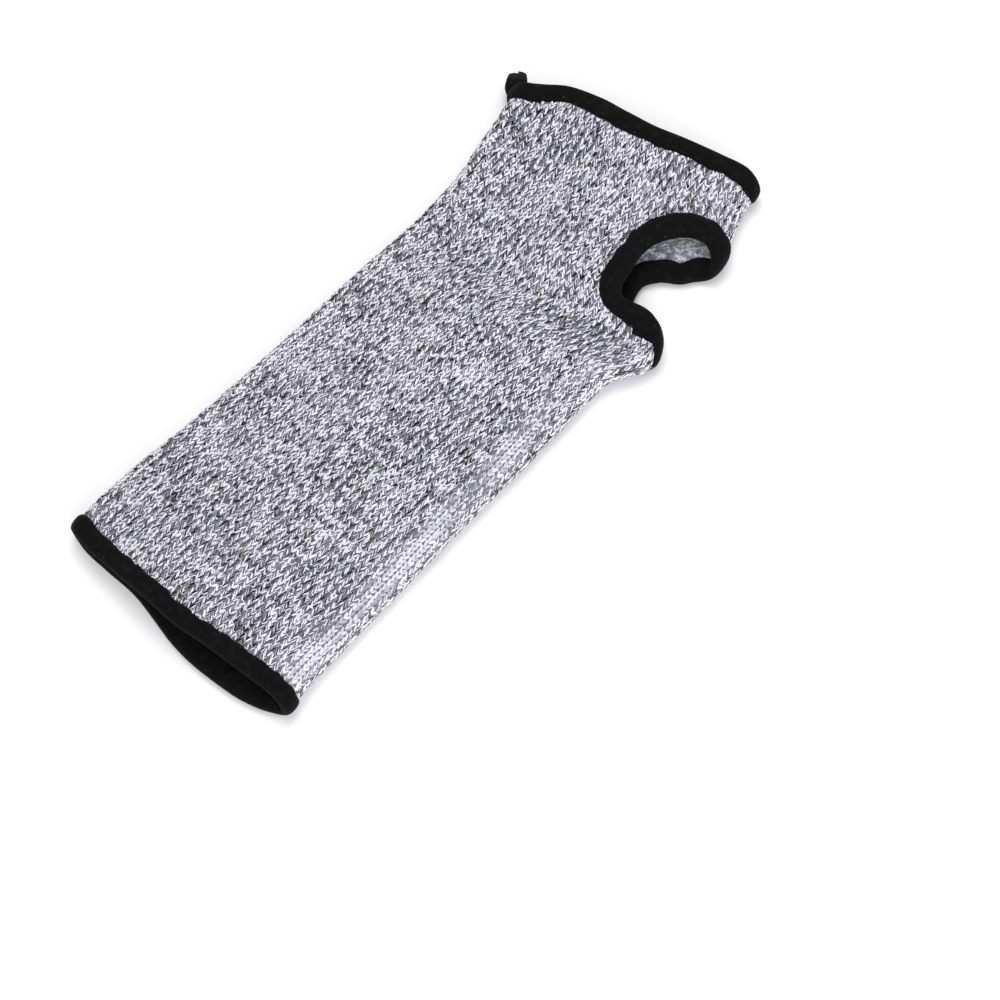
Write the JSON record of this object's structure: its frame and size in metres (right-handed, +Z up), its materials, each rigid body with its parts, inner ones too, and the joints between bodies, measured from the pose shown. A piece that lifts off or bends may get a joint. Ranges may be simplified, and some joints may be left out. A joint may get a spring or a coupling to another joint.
{
  "type": "cut resistant sleeve",
  "caption": "Short marled knit sleeve for the wrist and palm, laid flat, with a thumb hole and black bound edges.",
  "frame": {"origin": "middle of the underside, on the surface that the sleeve lies on", "axes": "+Y along the sleeve to the hand opening, +X to the thumb side, +Z up"},
  "size_m": [0.1118, 0.2552, 0.0146],
  "materials": {
    "knit": "marled white and black jersey knit, matt, slightly fuzzy",
    "binding": "black folded knit tape, matt, fine cross ribs"
  },
  "bodies": {
    "root": {"sleeve_body": "knit", "hand_binding": "binding", "thumb_binding": "binding", "forearm_binding": "binding"}
  },
  "joints": []
}
